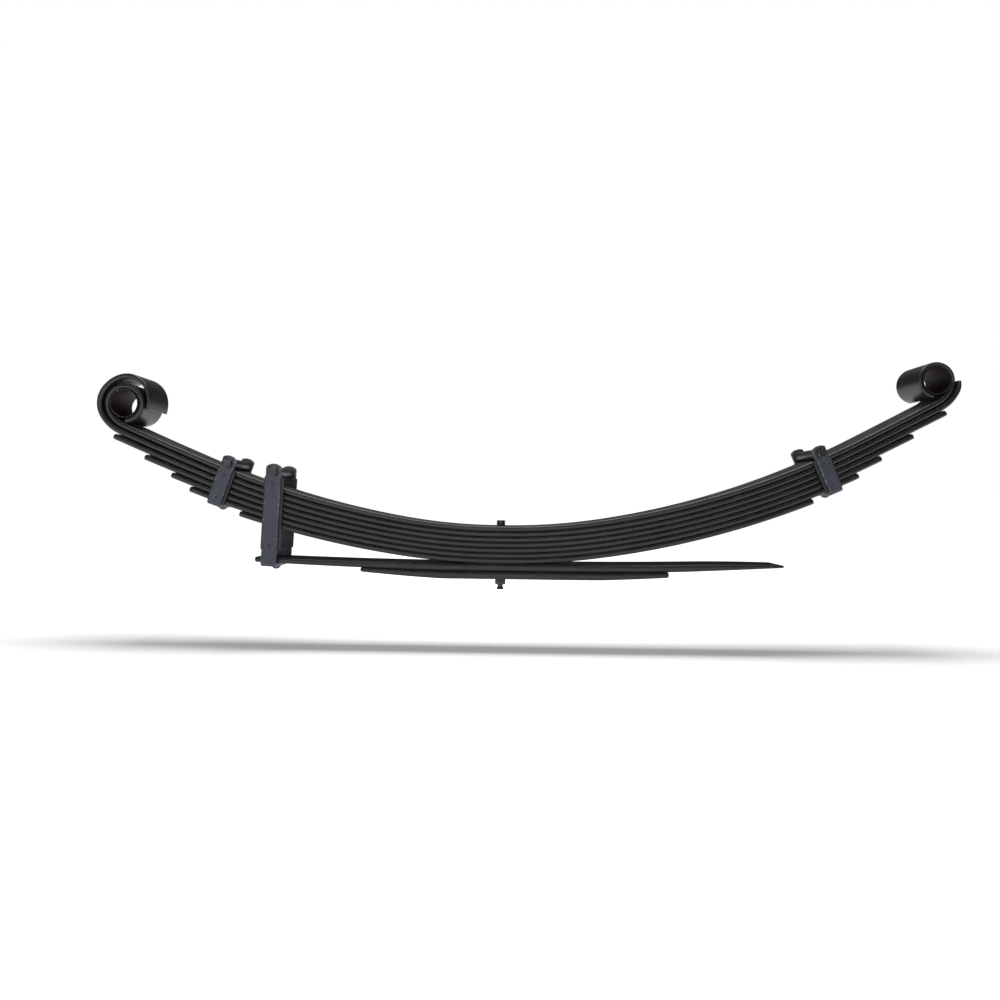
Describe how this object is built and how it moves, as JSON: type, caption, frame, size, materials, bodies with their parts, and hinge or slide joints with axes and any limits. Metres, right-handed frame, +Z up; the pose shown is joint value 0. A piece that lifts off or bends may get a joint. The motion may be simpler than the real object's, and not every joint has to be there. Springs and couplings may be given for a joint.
{
  "type": "leaf spring",
  "caption": "Cambered multi-leaf spring with rolled eyes, wrapped second leaf, flat overload leaves, bolted clips and a centre bolt.",
  "frame": {"origin": "centre bolt axis on the top face of the main leaf, at mid width, under the bolt head", "axes": "+X along the longer rear arm, -X along the shorter front arm, +Z up along the centre bolt, Y across the leaves with the clip bolt heads on -Y"},
  "size_m": [1.2996, 0.0934, 0.3542],
  "materials": {
    "leaf_paint": "satin black paint over forged spring steel",
    "clip_paint": "satin blue-grey black paint on pressed strip",
    "fastener_black": "black paint over steel fasteners",
    "sleeve_steel": "dark phosphated steel tube",
    "liner_plastic": "matt dark moulding"
  },
  "bodies": {
    "leaf_pack": {"main_leaf": "leaf_paint", "second_leaf": "leaf_paint", "third_leaf": "leaf_paint", "fourth_leaf": "leaf_paint", "fifth_leaf": "leaf_paint", "sixth_leaf": "leaf_paint", "seventh_leaf": "leaf_paint", "helper_leaf_long": "leaf_paint", "helper_leaf_short": "leaf_paint", "centre_bolt": "fastener_black", "centre_nut": "fastener_black", "helper_clip_strap": "clip_paint", "helper_clip_liner_near": "liner_plastic", "helper_clip_liner_far": "liner_plastic", "helper_clip_bolt": "fastener_black", "helper_clip_washer": "fastener_black", "helper_clip_spacer": "clip_paint", "helper_clip_nut": "fastener_black", "helper_clip_rivet": "fastener_black"},
    "front_arm": {"front_eye_sleeve": "sleeve_steel", "front_clip_strap": "clip_paint", "front_clip_liner_near": "liner_plastic", "front_clip_liner_far": "liner_plastic", "front_clip_bolt": "fastener_black", "front_clip_washer": "fastener_black", "front_clip_spacer": "clip_paint", "front_clip_nut": "fastener_black", "front_clip_rivet": "fastener_black"},
    "rear_arm": {"rear_eye_sleeve": "sleeve_steel", "rear_clip_strap": "clip_paint", "rear_clip_liner_near": "liner_plastic", "rear_clip_liner_far": "liner_plastic", "rear_clip_bolt": "fastener_black", "rear_clip_washer": "fastener_black", "rear_clip_spacer": "clip_paint", "rear_clip_nut": "fastener_black", "rear_clip_rivet": "fastener_black"}
  },
  "joints": [
    {"name": "front_arm_flex", "type": "hinge", "parent": "leaf_pack", "child": "front_arm", "pos_m": [-0.14, 0, -0.02], "axis": [0, -1, 0], "range_deg": [0, 8.6], "stiffness_Nm_per_rad": 7400, "deforming": ["main_leaf", "second_leaf", "third_leaf", "fourth_leaf", "fifth_leaf", "sixth_leaf", "seventh_leaf"]},
    {"name": "rear_arm_flex", "type": "hinge", "parent": "leaf_pack", "child": "rear_arm", "pos_m": [0.14, 0, -0.02], "axis": [0, 1, 0], "range_deg": [0, 10], "stiffness_Nm_per_rad": 6800, "deforming": ["main_leaf", "second_leaf", "third_leaf", "fourth_leaf", "fifth_leaf", "sixth_leaf", "seventh_leaf"]}
  ]
}
